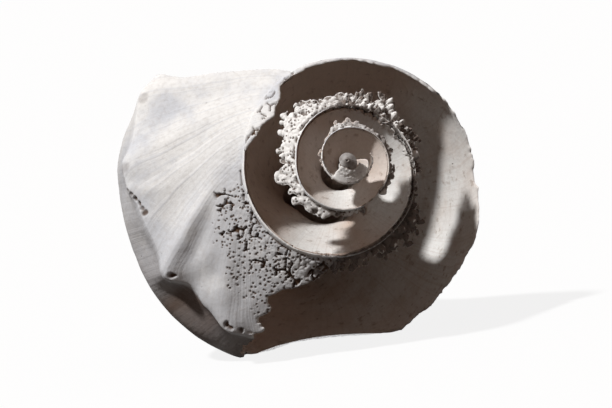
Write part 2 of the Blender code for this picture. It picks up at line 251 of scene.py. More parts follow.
# How dirty the crust is: in its hollows, in its gaps, and by turn all over but the lumps' tops,
# where it is also painted shade on the ledges that lie in shade
HOLLOW_SOIL = 0.9
GAP_SOIL = 0.7
CLEAN_LUMP_TOP = 0.22
LEDGE_SOIL_AND_SHADE_WITHIN = (0.8, 0.1)
LEDGE_SOIL_AND_SHADE = (
    (-1.8, 0.1), (-1.72, 0.7), (-1.52, 0.7), (-1.5, 0.1), (-1.2, 0.1),
    (-1.15, 0.0), (-0.66, 0.0), (-0.6, 0.3), (-0.54, 0.85), (-0.33, 0.85), (-0.28, 0.0),
)
# Pits reach out to this radius share: (turn, radius share)
PITTED = (
    (-0.31, 1.0), (-0.233, 0.87), (-0.222, 0.852), (-0.206, 0.853), (-0.194, 0.8),
    (-0.173, 0.742), (-0.158, 0.773), (-0.138, 0.725), (-0.12, 0.66), (-0.105, 0.6),
    (-0.088, 0.5),
)
PITTED_FADE = 0.04
PITS_ABOVE = SHOULDER_Z - 0.03
PITS_MOST = 0.85
PIT_CELLS = (1.05e-3, 47)
PIT_WITHIN = (0.4, 0.2)
PIT_DEPTH = 0.3e-3
# The turn from which the whole roof stands, and how fast its pits come in there
ROOF_FROM = -0.36
ROOF_PITS_FROM = (ROOF_FROM, 0.03)
# Cracks: where they are, the share of that which is cracked, and their cells and width
CRACKS_FROM = (ROOF_FROM, 0.04)
CRACKS_TO = (-0.06, 0.06)
CRACKS_WITHIN = (0.74, 0.1)
CRACKED_SCRAP_BEFORE = -0.9
CRACKED_SCRAP_BEYOND = 0.84
ROOF_CRACKED = 0.46
SCRAP_CRACKED = 0.44
CRACKS_FADE = 0.05
CRACK_PUSH = (0.9e-3, 2.4e-3, 73)
CRACK_CELLS = (3.0e-3, 25)
CRACK_PATCHES = (2.2e-3, 27)
CRACK_WIDTH = 0.17
CRACK_SLOPE = 0.08
CRACK_DEPTH = 0.8e-3
# Scars on the knobs: (turn, radius share, size and depth in metres, how brown)
SCARS = (
    (-0.0118, 0.98, 2.2e-3, 0.15e-3, 0.3), (-0.0693, 0.985, 2.2e-3, 0.15e-3, 0.3),
    (-0.0861, 0.995, 0.8e-3, 0.35e-3, 0.8), (-0.09, 0.99, 0.9e-3, 0.5e-3, 0.85),
    (-0.0939, 0.986, 1.0e-3, 0.6e-3, 0.9), (-0.098, 0.982, 1.0e-3, 0.6e-3, 0.9),
    (-0.1022, 0.979, 1.0e-3, 0.5e-3, 0.75), (-0.1064, 0.976, 1.2e-3, 0.4e-3, 0.9),
    (-0.165, 0.975, 1.1e-3, 1.0e-3, 1.0), (-0.2285, 0.976, 1.1e-3, 0.8e-3, 1.0),
    (-0.232, 0.98, 1.0e-3, 0.8e-3, 1.0), (-0.2408, 0.98, 1.0e-3, 0.7e-3, 0.9),
)
SCAR_PUSH = (0.35e-3, 1.3e-3, 91)
SCAR_SLOPE = 0.6
# How white and worn a broken edge is, by turn
EDGE_WHITE = (
    (-7.0, 0.1), (-2.62, 0.3), (-2.48, 0.5), (-2.46, 0.0), (-2.4, 0.0), (-2.38, 0.5),
    (-1.62, 0.6), (-1.56, 0.0), (-1.32, 0.0), (-1.26, 0.8), (-1.1, 0.9), (-0.72, 0.8),
    (-0.6, 0.45), (-0.5, 0.2), (-0.33, 0.1), (-0.28, 0.9),
)
# Holes in a row along the suture: (turn, the share that is open)
SUTURE_HOLES = (
    (-3.1, 0.0), (-2.6, 0.3), (-1.9, 0.45), (-1.4, 0.6), (-1.2, 0.5), (-0.98, 0.55),
    (-0.85, 0.6), (-0.6, 0.5), (-0.3, 0.5), (-0.1, 0.45), (-0.02, 0.1), (0.02, 0.0),
)
# How far from the suture they start and end, in metres
HOLES_FROM = (0.1e-3, 0.15e-3)
HOLES_TO = 0.5e-3
HOLES_UNEVEN = 1.0e-3
HOLE_SLOPE = 0.3e-3
HOLES_FADE = 0.06
HOLE_ROW = (2.2e-3, 29)
# How thickly the crust is pitted beside the suture, by turn
SUTURE_PITS = (
    (-3.1, 0.0), (-2.0, 0.6), (-1.2, 1.0), (-0.9, 0.9), (-0.6, 0.4), (0.0, 0.6), (0.05, 0.0),
)
SUTURE_PITS_WITHIN = (0.7, 0.05)

# Unevenness all over, weaker on the small whorls, and growth lines, in metres
RELIEF_GAIN = 1.3
ALL_UNEVEN = (0.3e-3, 9e-3, 3, 31)
LINES_UNEVEN = (0.1e-3, 0.016, 3, 37)
STREAK_STRETCH = (0.9, 0.02, 0.02)
# Where the side's painted shadow is, and how patchy it and the apex's dirt are
SIDE_SHADOW_BELOW = (SHOULDER_Z - 0.01, 0.05)
SIDE_SHADOW_ABOVE = (-1.55, 0.4)
SIDE_SHADOW_FROM = -0.45
SIDE_SHADOW_MEAN = 0.9
SIDE_SHADOW_UNEVEN = (0.5, 0.02, 3, 73)
APEX_SOIL_BEFORE = -4.25
APEX_SOIL_MEAN = 0.55
APEX_SOIL_UNEVEN = (0.35, 1.6e-3, 2, 71)
# Where the roof is greyer, and how much painted shade greys the side below the shoulder
GREY_ROOF_BEFORE = (-0.085, 0.13)
SIDE_PAINTED_SHADE_GREY = 0.75
SIDE_SHADE_GREY_FROM = (-0.5, 0.1)
SIDE_SHADE_GREY_TO = (0.02, 0.1)
# Where it has gone white: the crust before this turn, and the first roof between these
CHALKY_BEFORE = (-0.3, 0.06)
CHALKY_ROOF = (-4.2, -3.0)
# The wall's thickness: as a share of the shoulder radius, its limits in metres, how much the
# crust adds, and how much thinner the rim is where the roof is gone
WALL_SHARE = 0.024
WALL_LIMITS = (0.42e-3, 1.35e-3)
CRUST_SHARE = 0.012
RIM_THINNING = 0.4
THIN_RIM_ABOVE = (-0.95, 0.2)
THIN_RIM_MARGIN = 0.01
THIN_RIM_BEFORE = -0.28

# Painted shade inside: how brown the inside is, by turn, brown where its chambers lie in shade and
# pale where light falls on them
INSIDE_PAINTED_SHADE = (
    (-2.45, 0.5), (-2.3, 0.0), (-2.15, 0.8), (-1.9, 0.9), (-1.7, 0.1), (-1.5, 0.0),
    (-1.38, 0.8), (-1.32, 0.15), (-1.24, 0.05), (-1.16, 1.0), (-0.78, 1.1), (-0.68, 0.15),
    (-0.46, 0.0), (-0.38, 0.45), (-0.26, 0.85), (0.0, 0.5),
)

# The columella inside the whorls: (height, radius) shares
PILLAR = (
    (-2.6, 0.06), (-2.35, 0.085), (-1.8, 0.11), (-1.3, 0.13), (-1.0, 0.11), (-0.5, 0.055),
    (-0.1, 0.008),
)
PILLAR_LEAST = 0.8e-3
PILLAR_UNEVEN = (0.2e-3, 6e-3, 3, 61)
# Painted shade on the columella, as a share of the inside's brown
PILLAR_PAINTED_SHADE = 0.5
PILLAR_RINGS = 120
PILLAR_SIDES = 64

# Stretches of wall: (first turn, last turn, step along the shoulder in metres)
ROOF_TURNS = (-0.345, 0.104, 0.3e-3)
CRUST_TURNS = (-1.12, -0.345, 0.42e-3)
SIDE_TURNS = (-1.12, -0.7, 0.8e-3)
BROKEN_TURNS = (-0.7, -0.255, 0.5e-3)
LIP_TURNS = (-0.255, 0.108, 0.8e-3)
SECOND_TURNS = (-2.15, -1.12, 0.4e-3)
EARLY_TURNS = (-4.6, -2.15, 0.33e-3)
APEX_TURNS = (-7.0, -4.6, 0.16e-3)
# Their steps along the profile: on the roof, on the side, or on both
ROOF_STEP = 0.0048
CRUST_STEP = 0.0075
SIDE_STEP = 0.012
SECOND_STEPS = (0.012, 0.022)
EARLY_STEPS = (0.02, 0.04)
APEX_STEP = 0.05
# Where they start and stop along the profile, and how the side's points run to the canal's end
EDGE_R = 0.51
ROOF_TO_Z = -0.8
MIDDLE_Z = -1.5
BOTTOM_Z = -2.5
FOOT_COLUMNS = 80
FOOT_BEYOND = 1.01
# A scrap of wall stays only within so many cells of a part that is this many cells deep
SCRAP_CELLS = 14
BROAD_CELLS = 3
# How round an edge is, how often it is smoothed, and how deep a hollow the inside ignores
EDGE_ROUNDING = 0.42
RELAXING = 3
INSIDE_SPARED = 0.5e-3

NOISE_ORIGIN = 512.0
OCTAVE_STRENGTH = 0.55
OCTAVE_SEED_STEP = 17

# Colours
CHALK = (0.78, 0.775, 0.76)
CRUST = (0.88, 0.87, 0.85)
SLATE = (0.6, 0.615, 0.645)
CREAM = (0.71, 0.7, 0.68)
# Brown of the painted shade inside
PAINTED_SHADE_BROWN = (0.54, 0.42, 0.35)
# Dark brown of dirt, also used for painted shade and painted shadow
EARTH_AND_SHADE = (0.085, 0.05, 0.032)
# Grey of the roof, also used for painted shade on the side
ROOF_GREY_AND_SHADE = (0.47, 0.475, 0.49)
WORN_WHITE = (0.8, 0.79, 0.77)
BROWN_PATCH = (0.42, 0.3, 0.22)
BROWN_STREAK = (0.4, 0.31, 0.25)
BROWN_FLECK = (0.24, 0.16, 0.11)
DUST = (0.36, 0.31, 0.27)
FLOOR_SEEN = (0.8, 0.8, 0.8, 1.0)
FLOOR_UNSEEN = (0.1, 0.095, 0.09, 1.0)
FLOOR_GLOW = 0.86
# Layers of colour: (texture, from, to, how strong, colour)
OUTSIDE_LAYERS = (
    ("broad", 0.42, 0.62, 1.0, SLATE),
    ("fleck", 0.56, 0.72, 0.35, CREAM),
    ("streak", 0.5, 0.68, 0.4, SLATE),
)
INSIDE_LAYERS = (
    ("patch", 0.47, 0.72, 0.34, BROWN_PATCH),
    ("streak", 0.52, 0.7, 0.2, BROWN_STREAK),
    ("fleck", 0.57, 0.72, 0.5, BROWN_FLECK),
)
LAYERS_ALL_OVER = (
    ("grain", 0.4, 0.75, 0.22, DUST),
    ("edge", 0.3, 0.85, 0.85, WORN_WHITE),
)
# Textures: (scale, detail, shift), and how the rest of the surface looks
SPECKLES = {
    "broad": (45.0, 4.0, 0.3),
    "patch": (95.0, 5.0, 1.7),
    "grain": (900.0, 4.0, 2.9),
    "fleck": (420.0, 3.0, 4.1),
}
SPECKLE_ROUGHNESS = 0.6
STREAKS_PER_TURN = 230.0
STREAK_DETAIL = 4.0
PORE_SCALE = 780.0
PORE_ROUND = (0.3, 0.16)
PORE_SOFTNESS = 0.02
PORE_SOIL = 0.9
# Ramps over a texture: (from, to, value before, value after)
GREY_PATCHES = (0.3, 0.55, 0.55, 0.95)
PAINTED_SHADE_PATCHES = (0.35, 0.65, -0.15, 0.15)
ROUGHNESS = (0.3, 0.7, 0.78, 0.97)
# The finest relief: how high each texture stands, and how much of the lines the inside lacks
GRAIN_HIGH = 0.5
FLECKS_HIGH = 0.6
LINES_HIGH = 0.7
LINES_LACK = 0.6
PORES_DEEP = 1.6
BUMP = {"Strength": 0.8, "Distance": 0.22e-3}
SHEEN = 0.1

# Light and camera
SUN_FROM = (-0.54, -0.247, 0.805)
SUN_STRENGTH = 3.85
SUN_ANGLE = radians(4.7)
SHADE_LIGHT = (1.0, 0.73, 0.61)
SHADE_STRENGTH = 0.18
FLOOR_HALF = 40.0
CAMERA_AT = (-0.11776, -0.71483, 0.11141)
CAMERA_TURN = radians(9.984)
CAMERA_DROP = radians(5.928)
CAMERA_ROLL = radians(-7.848)
# Focal length in mm, on a 36 mm sensor
LENS = 147.06


def ease(x):
    """0 below 0, 1 above 1 and a smooth step between."""
    x = np.clip(x, 0.0, 1.0)
    return x * x * (3.0 - 2.0 * x)


def above(x, place, span):
    """0 up to this place, then rising smoothly to 1 over this span."""
    return ease((x - place) / span)


def below(x, place, span):
    """0 down to this place, then rising smoothly to 1 over this span further down."""
    return ease((place - x) / span)


def hump(x, width):
    return np.exp(-((x / width) ** 2))


def mix(a, b, share):
    return a + (b - a) * share


def read(table, at):
    """Straight-line reading of rows of (place, value) in rising order."""
    rows = np.array(table)
    return np.interp(at, rows[:, 0], rows[:, 1])


def softened(rows, width, count=1500):
    """A curve through rows of points, with its corners rounded over about this width: the
    distances along it and its two coordinates."""
    rows = np.array(rows, float)
    steps = np.hypot(*np.diff(rows, axis=0).T)
    along = np.concatenate([[0.0], np.cumsum(steps)])
    s = np.linspace(0.0, along[-1], count)
    reach = int(4.0 * width / (s[1] - s[0])) + 1
    kernel = np.exp(-0.5 * (np.arange(-reach, reach + 1) * (s[1] - s[0]) / width) ** 2)
    kernel /= kernel.sum()
    out = []
    for column in rows.T:
        line = np.interp(s, along, column)
        before = 2.0 * line[0] - line[reach:0:-1]
        after = 2.0 * line[-1] - line[-2 : -reach - 2 : -1]
        out.append(np.convolve(np.concatenate([before, line, after]), kernel, "valid"))
    return s, *out


PROFILE_S, PROFILE_R, PROFILE_Z = softened(
    list(ROOF) + [(r, z) for z, r in SIDE], PROFILE_SOFTNESS, PROFILE_COUNT
)
_, SPINDLE_H, SPINDLE_R = softened(SPINDLE, SPINDLE_SOFTNESS)
SHOULDER_S = np.interp(-SHOULDER_Z, -PROFILE_Z, PROFILE_S)


def radius_at(turn):
    return SHOULDER_RADIUS * GROWTH**turn


def placed(turn, radius, height):
    """Points at these turns, distances from the axis and heights."""
    angle = LIP_AZIMUTH - 2.0 * pi * turn
    drift = below(turn, *DRIFT_BEFORE)
    x = radius * np.cos(angle) + drift * DRIFT[0]
    y = radius * np.sin(angle) + drift * DRIFT[1]
    return np.stack(np.broadcast_arrays(x, y, height + drift * DRIFT[2]), -1)


# Repeatable noise


def lattice(places, seed):
    """A number from 0 to 1 for each whole-number place."""
    x, y, z = np.moveaxis(places.astype(np.uint32), -1, 0)
    n = x * np.uint32(374761393) + y * np.uint32(668265263) + z * np.uint32(2246822519)
    n += np.uint32(seed * 3266489917 % 4294967296)
    n = (n ^ (n >> np.uint32(15))) * np.uint32(2246822519)
    n = (n ^ (n >> np.uint32(13))) * np.uint32(3266489917)
    return ((n ^ (n >> np.uint32(16))) & np.uint32(0xFFFFFF)) / 16777215.0


def noise(points, size, seed):
    """Smooth noise from -1 to 1 whose blobs are about this size."""
    p = points / size + NOISE_ORIGIN
    base = np.floor(p).astype(np.int64)
    part = ease(p - base)
    total = 0.0
    for corner in product((0, 1), repeat=3):
        weight = np.where(corner, part, 1.0 - part).prod(-1)
        total = total + weight * lattice(base + corner, seed)
    return 2.0 * total - 1.0


def rough(points, size, octaves, seed):
    """Noise with finer and weaker noise added to it, still from -1 to 1."""
    total = 0.0
    weight = 0.0
    for k in range(octaves):
        strength = OCTAVE_STRENGTH**k
        total = total + noise(points, size / 2.0**k, seed + OCTAVE_SEED_STEP * k) * strength
        weight += strength
    return total / weight


def uneven(points, height, size, octaves, seed):
    return height * rough(points, size, octaves, seed)


def push(points, by, size, seed):
    """Shifts for the points, alike within blobs of this size, to make what is drawn less even."""
    return by * noise(points, size, seed)[..., None]


def cells(points, size, seed):
    """Distances to the nearest and second nearest of scattered centres, as shares of size,
    and a number from 0 to 1 that belongs to the nearest."""
    p = points / size + NOISE_ORIGIN
    base = np.floor(p).astype(np.int64)
    near = np.full(p.shape[:-1], 9.0)
    second = near
    own = np.zeros(near.shape)
    for step in product((-1, 0, 1), repeat=3):
        cell = base + step
        centre = cell + np.stack([lattice(cell, seed + k) for k in range(3)], -1)
        away = np.sqrt(((centre - p) ** 2).sum(-1))
        closer = away < near
        second = np.where(closer, near, np.minimum(second, away))
        own = np.where(closer, lattice(cell, seed + 3), own)
        near = np.where(closer, away, near)
    return near, second, own


# The shell's surfaces


def swelling(turn, r, z):
    """The flare towards the lip, the knobs and the other departures from the even spiral, as a
    factor on the radius."""
    outward = np.where(z < SHOULDER_Z, 1.0, above(r, SUTURE_R, 1.0 - SUTURE_R))
    factor = 1.0 + FLARE * outward * above(turn, -FLARE_TURNS, FLARE_TURNS)
    factor = factor * mix(read(WANDER, turn - 1.0), read(WANDER, turn), outward)
    lost = SIDE_FLARE_LOST * above(turn, *SIDE_FLARE_LOST_FROM)
    flare = SIDE_FLARE * above(turn, *SIDE_FLARE_FROM) * (1.0 - lost)
    factor = factor + flare * below(z, SHOULDER_Z, SIDE_FLARE_DROP)
    for at, stand, width, tall in KNOBS:
        factor = factor + stand * hump(turn - at, width) * hump(z - KNOB_Z, tall)
    factor = factor * (1.0 - TAPER * below(z, *TAPER_BELOW) * below(turn, *TAPER_BEFORE))
    factor = factor * (1.0 - FUNNEL * below(z, *FUNNEL_BELOW) * below(turn, *FUNNEL_BEFORE))
    for at, height, stand, width, tall in SIDE_SWELLS:
        factor = factor + stand * hump(turn - at, width) * hump(z - height, tall)
    return factor


def canal_lag(z):
    """How far the lip and the growth lines fall back over the canal, in turns."""
    return CANAL_LAG * below(z, *CANAL_LAG_BELOW)


def growth_line(turn, z):
    """The turn at which the lip stood here: the same all along a growth line."""
    return turn - read(LIP, z) + canal_lag(z)


def lip_turn(z, height):
    """Where the lip ends, in turns: it leads at the suture and wraps over the canal."""
    lead = read(LIP, z) - canal_lag(z)
    lead = lead + LIP_OUT * below(z, *LIP_OUT_BELOW) * above(z, *LIP_OUT_ABOVE)
    return lead + CANAL_WRAP * below(height / SHOULDER_RADIUS, *CANAL_WRAP_BELOW)


def groove(turn, height):
    """Depth of the canal's groove into the spindle."""
    depth = read(GROOVE, height / SHOULDER_RADIUS) * SHOULDER_RADIUS
    return depth * hump(2.0 * pi * (turn - GROOVE_TURN), GROOVE_ANGLE)


def outside(turn, s):
    """The outside of the shell by turn and distance along the profile, with its profile place."""
    scale = radius_at(turn)
    r = np.interp(s, PROFILE_S, PROFILE_R)
    z = np.interp(s, PROFILE_S, PROFILE_Z)
    height = scale * z
    plain = scale * r * swelling(turn, r, z)
    wrapped = np.maximum(0.0, turn - lip_turn(z, 0.0))
    plain = plain * (1.0 - WRAP_INWARDS * wrapped * (z < CANAL_Z))
    spindle = np.interp(height / SHOULDER_RADIUS, SPINDLE_H, SPINDLE_R) * SHOULDER_RADIUS
    soft = SPINDLE_BLEND * SHOULDER_RADIUS * np.minimum(1.0, scale / radius_at(-1.0))
    joined = 0.5 * (plain + spindle + np.sqrt((plain - spindle) ** 2 + soft * soft))
    radius = mix(plain, joined, below(z, SHOULDER_Z, SPINDLE_FADE)) - groove(turn, height)
    return placed(turn, radius, height), r, z


def roof_s(share):
    """Distance along the profile at a radius share on the roof."""
    widest = np.argmax(PROFILE_R)
    return np.interp(share, PROFILE_R[:widest], PROFILE_S[:widest])


def along_profile(z):
    """Distance along the profile at a height share on the side."""
    return np.interp(-z, -PROFILE_Z, PROFILE_S)


EDGE_S = roof_s(EDGE_R)
UNDER_S = along_profile(ROOF_TO_Z)
MIDDLE_S = along_profile(MIDDLE_Z)
BOTTOM_S = along_profile(BOTTOM_Z)


def normals(points):
    n = np.cross(np.gradient(points, axis=0), np.gradient(points, axis=1))
    return n / np.maximum(np.linalg.norm(n, axis=-1, keepdims=True), 1e-12)


# The state of the shell at each place


def lumpy(turn, r, z):
    """How lumpy the crust beside the suture is, from 0 to 1."""
    reach = mix(*CRUST_REACH, above(turn, *CRUST_REACH_FROM))
    return read(LUMPY, turn) * below(r, reach, CRUST_FADE) * (z > SHOULDER_Z)


def lumps(turn, points):
    """The crust's lumps: the distances to the nearest two and a number of the nearest's own."""
    finer = np.maximum(1.0, GROWTH ** (LUMPS_FINER * (LUMPS_FINER_BEFORE - turn)))[..., None]
    return cells(points * finer + push(points, *LUMP_PUSH), *LUMP_CELLS)


def cracking(turn, r, z, points):
    """The roof's cracks beside the suture and in its loose scrap, from 0 to 1."""
    zone = above(turn, *CRACKS_FROM) * below(turn, *CRACKS_TO) * below(r, *CRACKS_WITHIN)
    scrap = (turn < CRACKED_SCRAP_BEFORE) & (turn > SCRAP[0][0]) & (r > CRACKED_SCRAP_BEYOND)
    share = np.maximum(ROOF_CRACKED * zone, SCRAP_CRACKED * scrap) * (z > SHOULDER_Z)
    near, second, _ = cells(points + push(points, *CRACK_PUSH), *CRACK_CELLS)
    part = 0.5 + 0.5 * noise(points, *CRACK_PATCHES)
    return ease((CRACK_WIDTH - second + near) / CRACK_SLOPE) * below(part, share, CRACKS_FADE)


def gutter(turn, r, z, points):
    """The row of holes worn along the suture, from 0 to 1."""
    beyond = (r - SUTURE_R) * radius_at(turn)
    row = 0.5 + 0.5 * noise(points, *HOLE_ROW)
    across = above(beyond, *HOLES_FROM) * below(beyond, HOLES_TO + HOLES_UNEVEN * row, HOLE_SLOPE)
    return across * below(row, read(SUTURE_HOLES, turn), HOLES_FADE) * (z > SHOULDER_Z)


def scarring(turn, points):
    """Depth and brownness of the scars on the knobs."""
    depth = np.zeros(turn.shape)
    brown = np.zeros(turn.shape)
    pushed = points + push(points, *SCAR_PUSH)
    for at, share, size, deep, dark in SCARS:
        centre = outside(np.array(at), roof_s(share))[0]
        spot = below(np.linalg.norm(pushed - centre, axis=-1), size, SCAR_SLOPE * size)
        depth = np.maximum(depth, deep * spot)
        brown = np.maximum(brown, dark * spot)
    return depth, brown


def pitting(turn, r, z):
    """How thickly the roof is pitted, from 0 to 1."""
    roof = above(turn, *ROOF_PITS_FROM) * below(r, read(PITTED, turn), PITTED_FADE)
    roof = roof * (turn > ROOF_FROM)
    suture = read(SUTURE_PITS, turn) * below(r, *SUTURE_PITS_WITHIN) * (turn < ROOF_FROM)
    return np.maximum(roof, suture) * (z > PITS_ABOVE)


def greying_and_side_shade(turn, z):
    """How grey the outside is, from 0 to 1: greyer on the roof before a growth line, and painted
    shade on the side below the shoulder.
    """
    roof = below(growth_line(turn, z), *GREY_ROOF_BEFORE) * (turn > ROOF_FROM)
    # Painted shade: the side below the shoulder greyed where it faces away from the light
    side = SIDE_PAINTED_SHADE_GREY * above(turn, *SIDE_SHADE_GREY_FROM) * below(turn, *SIDE_SHADE_GREY_TO)
    return np.where(z > SHOULDER_Z, roof, side)


def chalky(turn, r, z):
    """Where the shell has gone white: the crust and the first roof."""
    crust = lumpy(turn, r, z) * below(turn, *CHALKY_BEFORE)
    return np.maximum(crust, (turn > CHALKY_ROOF[0]) & (turn < CHALKY_ROOF[1]))


def standing(turn, r, z, points):
    """Whether the shell still stands at these places, after breaking and wear."""
    height = points[..., 2]
    ragged = rough(points, *RAGGED)
    fine = rough(points, *FINE_RAGGED)
    roof = z > SHOULDER_Z
    fracture = read(FRACTURE, np.where(roof, r, 1.0))
    keep = turn > fracture + FRACTURE_ROUGH * ragged + FRACTURE_FINE * fine
    near, _, own = lumps(turn, points)
    lump = SCALLOP_UNEVEN * (own - 0.5) + SCALLOP_ROUND * (SCALLOP_MIDDLE - near)
    ledge = read(LEDGE, turn) + LEDGE_ROUGH * ragged + LEDGE_FINE * fine
    keep |= roof & (r < ledge + lumpy(turn, r, z) * lump)
    rim_rough = read(RIM_ROUGHNESS, turn) * (ragged + RIM_FINE * fine)
    keep |= ~roof & (z < read(RIM, turn) + rim_rough)
    keep |= roof & (r > read(SCRAP, turn) + SCRAP_ROUGH * ragged)
    return keep & (turn < lip_turn(z, height) + LIP_ROUGH * ragged) & (height > CANAL_END)


def with_crust(out, turn, r, z, points):
    """The relief with the crust's lumps on it, and how dark the crust is from dirt and from painted
    shade on its shaded ledges.
    """
    near, second, own = lumps(turn, points)
    crust = lumpy(turn, r, z)
    gap = 1.0 - above(second - near, 0.0, LUMP_GAP)
    gone = above(own, read(LUMPS_LEFT, turn), LUMPS_FADE) * above(second - near, 0.0, HOLLOW_SLOPE)
    tall = read(LUMP_HEIGHT, turn)
    lump = LUMP_ROUND * (0.5 - near) + LUMP_UNEVEN * (own - 0.5) - LUMP_GAP_DEPTH * gap
    out = out + crust * tall * lump
    sunk = gone * read(HOLLOW_DEPTH, turn) + read(SAG, turn)
    out = out - crust * sunk * above(r, *SUNK_BEYOND)
    soil_and_shade = crust * np.maximum(HOLLOW_SOIL * gone, GAP_SOIL * gap * gap * np.minimum(1.0, tall))
    # Painted shade on the crust's ledges that lie in shade, besides their dirt
    ledge_soil_and_shade = read(LEDGE_SOIL_AND_SHADE, turn) * below(r, *LEDGE_SOIL_AND_SHADE_WITHIN) * (z > SHOULDER_Z)
    return out, np.maximum(soil_and_shade, ledge_soil_and_shade * (near > CLEAN_LUMP_TOP))


def relief(turn, r, z, points):
    """How far the outside stands out of its plain surface, in metres, and how dark it is from dirt
    and from painted shade and shadow.
    """
    scale = np.minimum(1.0, radius_at(turn) / SHOULDER_RADIUS * RELIEF_GAIN)
    line = growth_line(turn, z)
    streak = np.stack([line, r, z], -1) * STREAK_STRETCH
    out = uneven(points, *ALL_UNEVEN) * scale + uneven(streak, *LINES_UNEVEN) * scale
    for at, high, wide in FOLDS:
        out = out + high * hump(line - at, wide) * above(z, *FOLDS_ABOVE) * above(r, *FOLDS_BEYOND)
    out, soil_and_shade = with_crust(out, turn, r, z, points)
    near, _, own = cells(points, *PIT_CELLS)
    pit = below(near, *PIT_WITHIN) * (own < PITS_MOST * pitting(turn, r, z))
    crack = np.maximum(cracking(turn, r, z, points), gutter(turn, r, z, points))
    scar, brown = scarring(turn, points)
    # Painted shadow on the side below the shoulder, in streaks
    side = below(z, *SIDE_SHADOW_BELOW) * above(z, *SIDE_SHADOW_ABOVE) * (turn > SIDE_SHADOW_FROM)
    side = read(SIDE_PAINTED_SHADOW, turn) * side * (SIDE_SHADOW_MEAN + uneven(streak, *SIDE_SHADOW_UNEVEN))
    apex = (APEX_SOIL_MEAN + uneven(points, *APEX_SOIL_UNEVEN)) * (turn < APEX_SOIL_BEFORE)
    soil_and_shade = np.maximum.reduce([soil_and_shade, pit, crack, brown, side, apex])
    return out - PIT_DEPTH * pit - CRACK_DEPTH * crack - scar, soil_and_shade


def wall(turn, r, z):
    """Thickness of the shell, in metres."""
    plain = np.clip(WALL_SHARE * radius_at(turn), *WALL_LIMITS)
    rim = above(z, *THIN_RIM_ABOVE) * (z < SHOULDER_Z + THIN_RIM_MARGIN) * (turn < THIN_RIM_BEFORE)
    plain = plain * (1.0 - RIM_THINNING * rim)
    return plain + CRUST_SHARE * radius_at(turn) * lumpy(turn, r, z)


# Meshes

LYING = (
    Matrix.Translation(Vector(APEX))
    @ Matrix.Rotation(radians(90.0) - AXIS_DROP, 4, "X")
    @ Matrix.Rotation(ROLL, 4, "Z")
)


def lay_down(points):
    """The points where the shell lies, held inside the part's box."""
    turned = np.array(LYING)
    laid = points @ turned[:3, :3].T + turned[:3, 3]
    return np.clip(laid, *np.array(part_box("shell")))


def put(name, data):
    """A scene object for this mesh, light or camera."""
    thing = bpy.data.objects.new(name, data)
    bpy.context.scene.collection.objects.link(thing)
    return thing


def mesh_object(name, points, quads, marks, material):
    """A piece from corner points and quads, with one number a point for each named mark. The
    material reads 0 for a mark that isn't there."""
    used, index = np.unique(quads, return_inverse=True)
    quads = index.reshape(quads.shape)
    mesh = bpy.data.meshes.new(name)
    mesh.vertices.add(len(used))
    mesh.vertices.foreach_set("co", lay_down(points[used]).astype(np.float32).ravel())
    mesh.loops.add(quads.size)
    mesh.loops.foreach_set("vertex_index", quads.astype(np.int32).ravel())
    mesh.polygons.add(len(quads))
    mesh.polygons.foreach_set("loop_start", np.arange(0, quads.size, 4, dtype=np.int32))
    mesh.update(calc_edges=True)
    mesh.shade_smooth()
    for key, values in marks.items():
        layer = mesh.attributes.new(key, "FLOAT", "POINT")
        layer.data.foreach_set("value", values[used].astype(np.float32))
    mesh.materials.append(material)
    thing = put(name, mesh)
    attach(thing, "root")
    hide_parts("shell")


def neighbours(grid):
    """What is on the four sides of each cell within the outermost ring."""
    return grid[:-2, 1:-1], grid[2:, 1:-1], grid[1:-1, :-2], grid[1:-1, 2:]


def border(keep, columns):
    """The edges round the kept cells as pairs of points. keep has a ring of outside cells."""
    ends = ((0, 0), (0, 1)), ((1, 1), (1, 0)), ((1, 0), (0, 0)), ((0, 1), (1, 1))
    edges = []
    for other, steps in zip(neighbours(keep), ends):
        i, j = np.nonzero(keep[1:-1, 1:-1] & ~other)
        edges.append(np.stack([(i + di) * columns + j + dj for di, dj in steps], -1))
    return np.concatenate(edges)


def inland(keep, reach):
    """How far each point is from what is gone: 0 at the border, 1 at reach points."""
    layer = keep[:-1, :-1] & keep[1:, :-1] & keep[:-1, 1:] & keep[1:, 1:]
    total = layer.astype(float)
    for k in range(1, reach):
        wide = np.pad(layer, 1, mode="edge")
        layer = np.logical_and.reduce([layer, *neighbours(wide)])
        if k % 2 == 0:
            layer = layer & wide[:-2, :-2] & wide[2:, 2:] & wide[2:, :-2] & wide[:-2, 2:]
        total += layer
    return total / reach


def joined_up(keep):
    """The kept cells without scraps that hang on nothing: each joins a broad part or the suture."""
    held = keep.copy()
    for _ in range(BROAD_CELLS):
        held[1:-1, 1:-1] &= np.logical_and.reduce(neighbours(held))
    held[:, :2] |= keep[:, :2]
    for _ in range(SCRAP_CELLS):
        held = keep & np.logical_or.reduce([held, *neighbours(np.pad(held, 1))])
    return held


def relaxed(points, edges):
    """The points, with those on the border drawn towards their neighbours along it."""
    flat = points.reshape(-1, 3).copy()
    count = np.bincount(edges.ravel(), minlength=len(flat))[:, None]
    on = count[:, 0] > 0
    for _ in range(RELAXING):
        total = np.zeros_like(flat)
        np.add.at(total, edges[:, 0], flat[edges[:, 1]])
        np.add.at(total, edges[:, 1], flat[edges[:, 0]])
        flat[on] = 0.5 * flat[on] + 0.5 * total[on] / count[on]
    return flat.reshape(points.shape)


def halfway(values):
    """Places of the cells between these places, with one more cell beyond each end."""
    half = np.diff(values, axis=0) / 2
    return np.concatenate([values[:1] - half[:1], values[:-1] + half, values[-1:] + half[-1:]])


def kept_cells(turns, s):
    """Which cells between the sheet's points are there, with a ring of cells round them."""
    cell_turn = np.repeat(halfway(turns)[:, None], s.shape[1] + 1, 1)
    points, r, z = outside(cell_turn, halfway(halfway(s).T).T)
    return joined_up(standing(cell_turn, r, z, points))


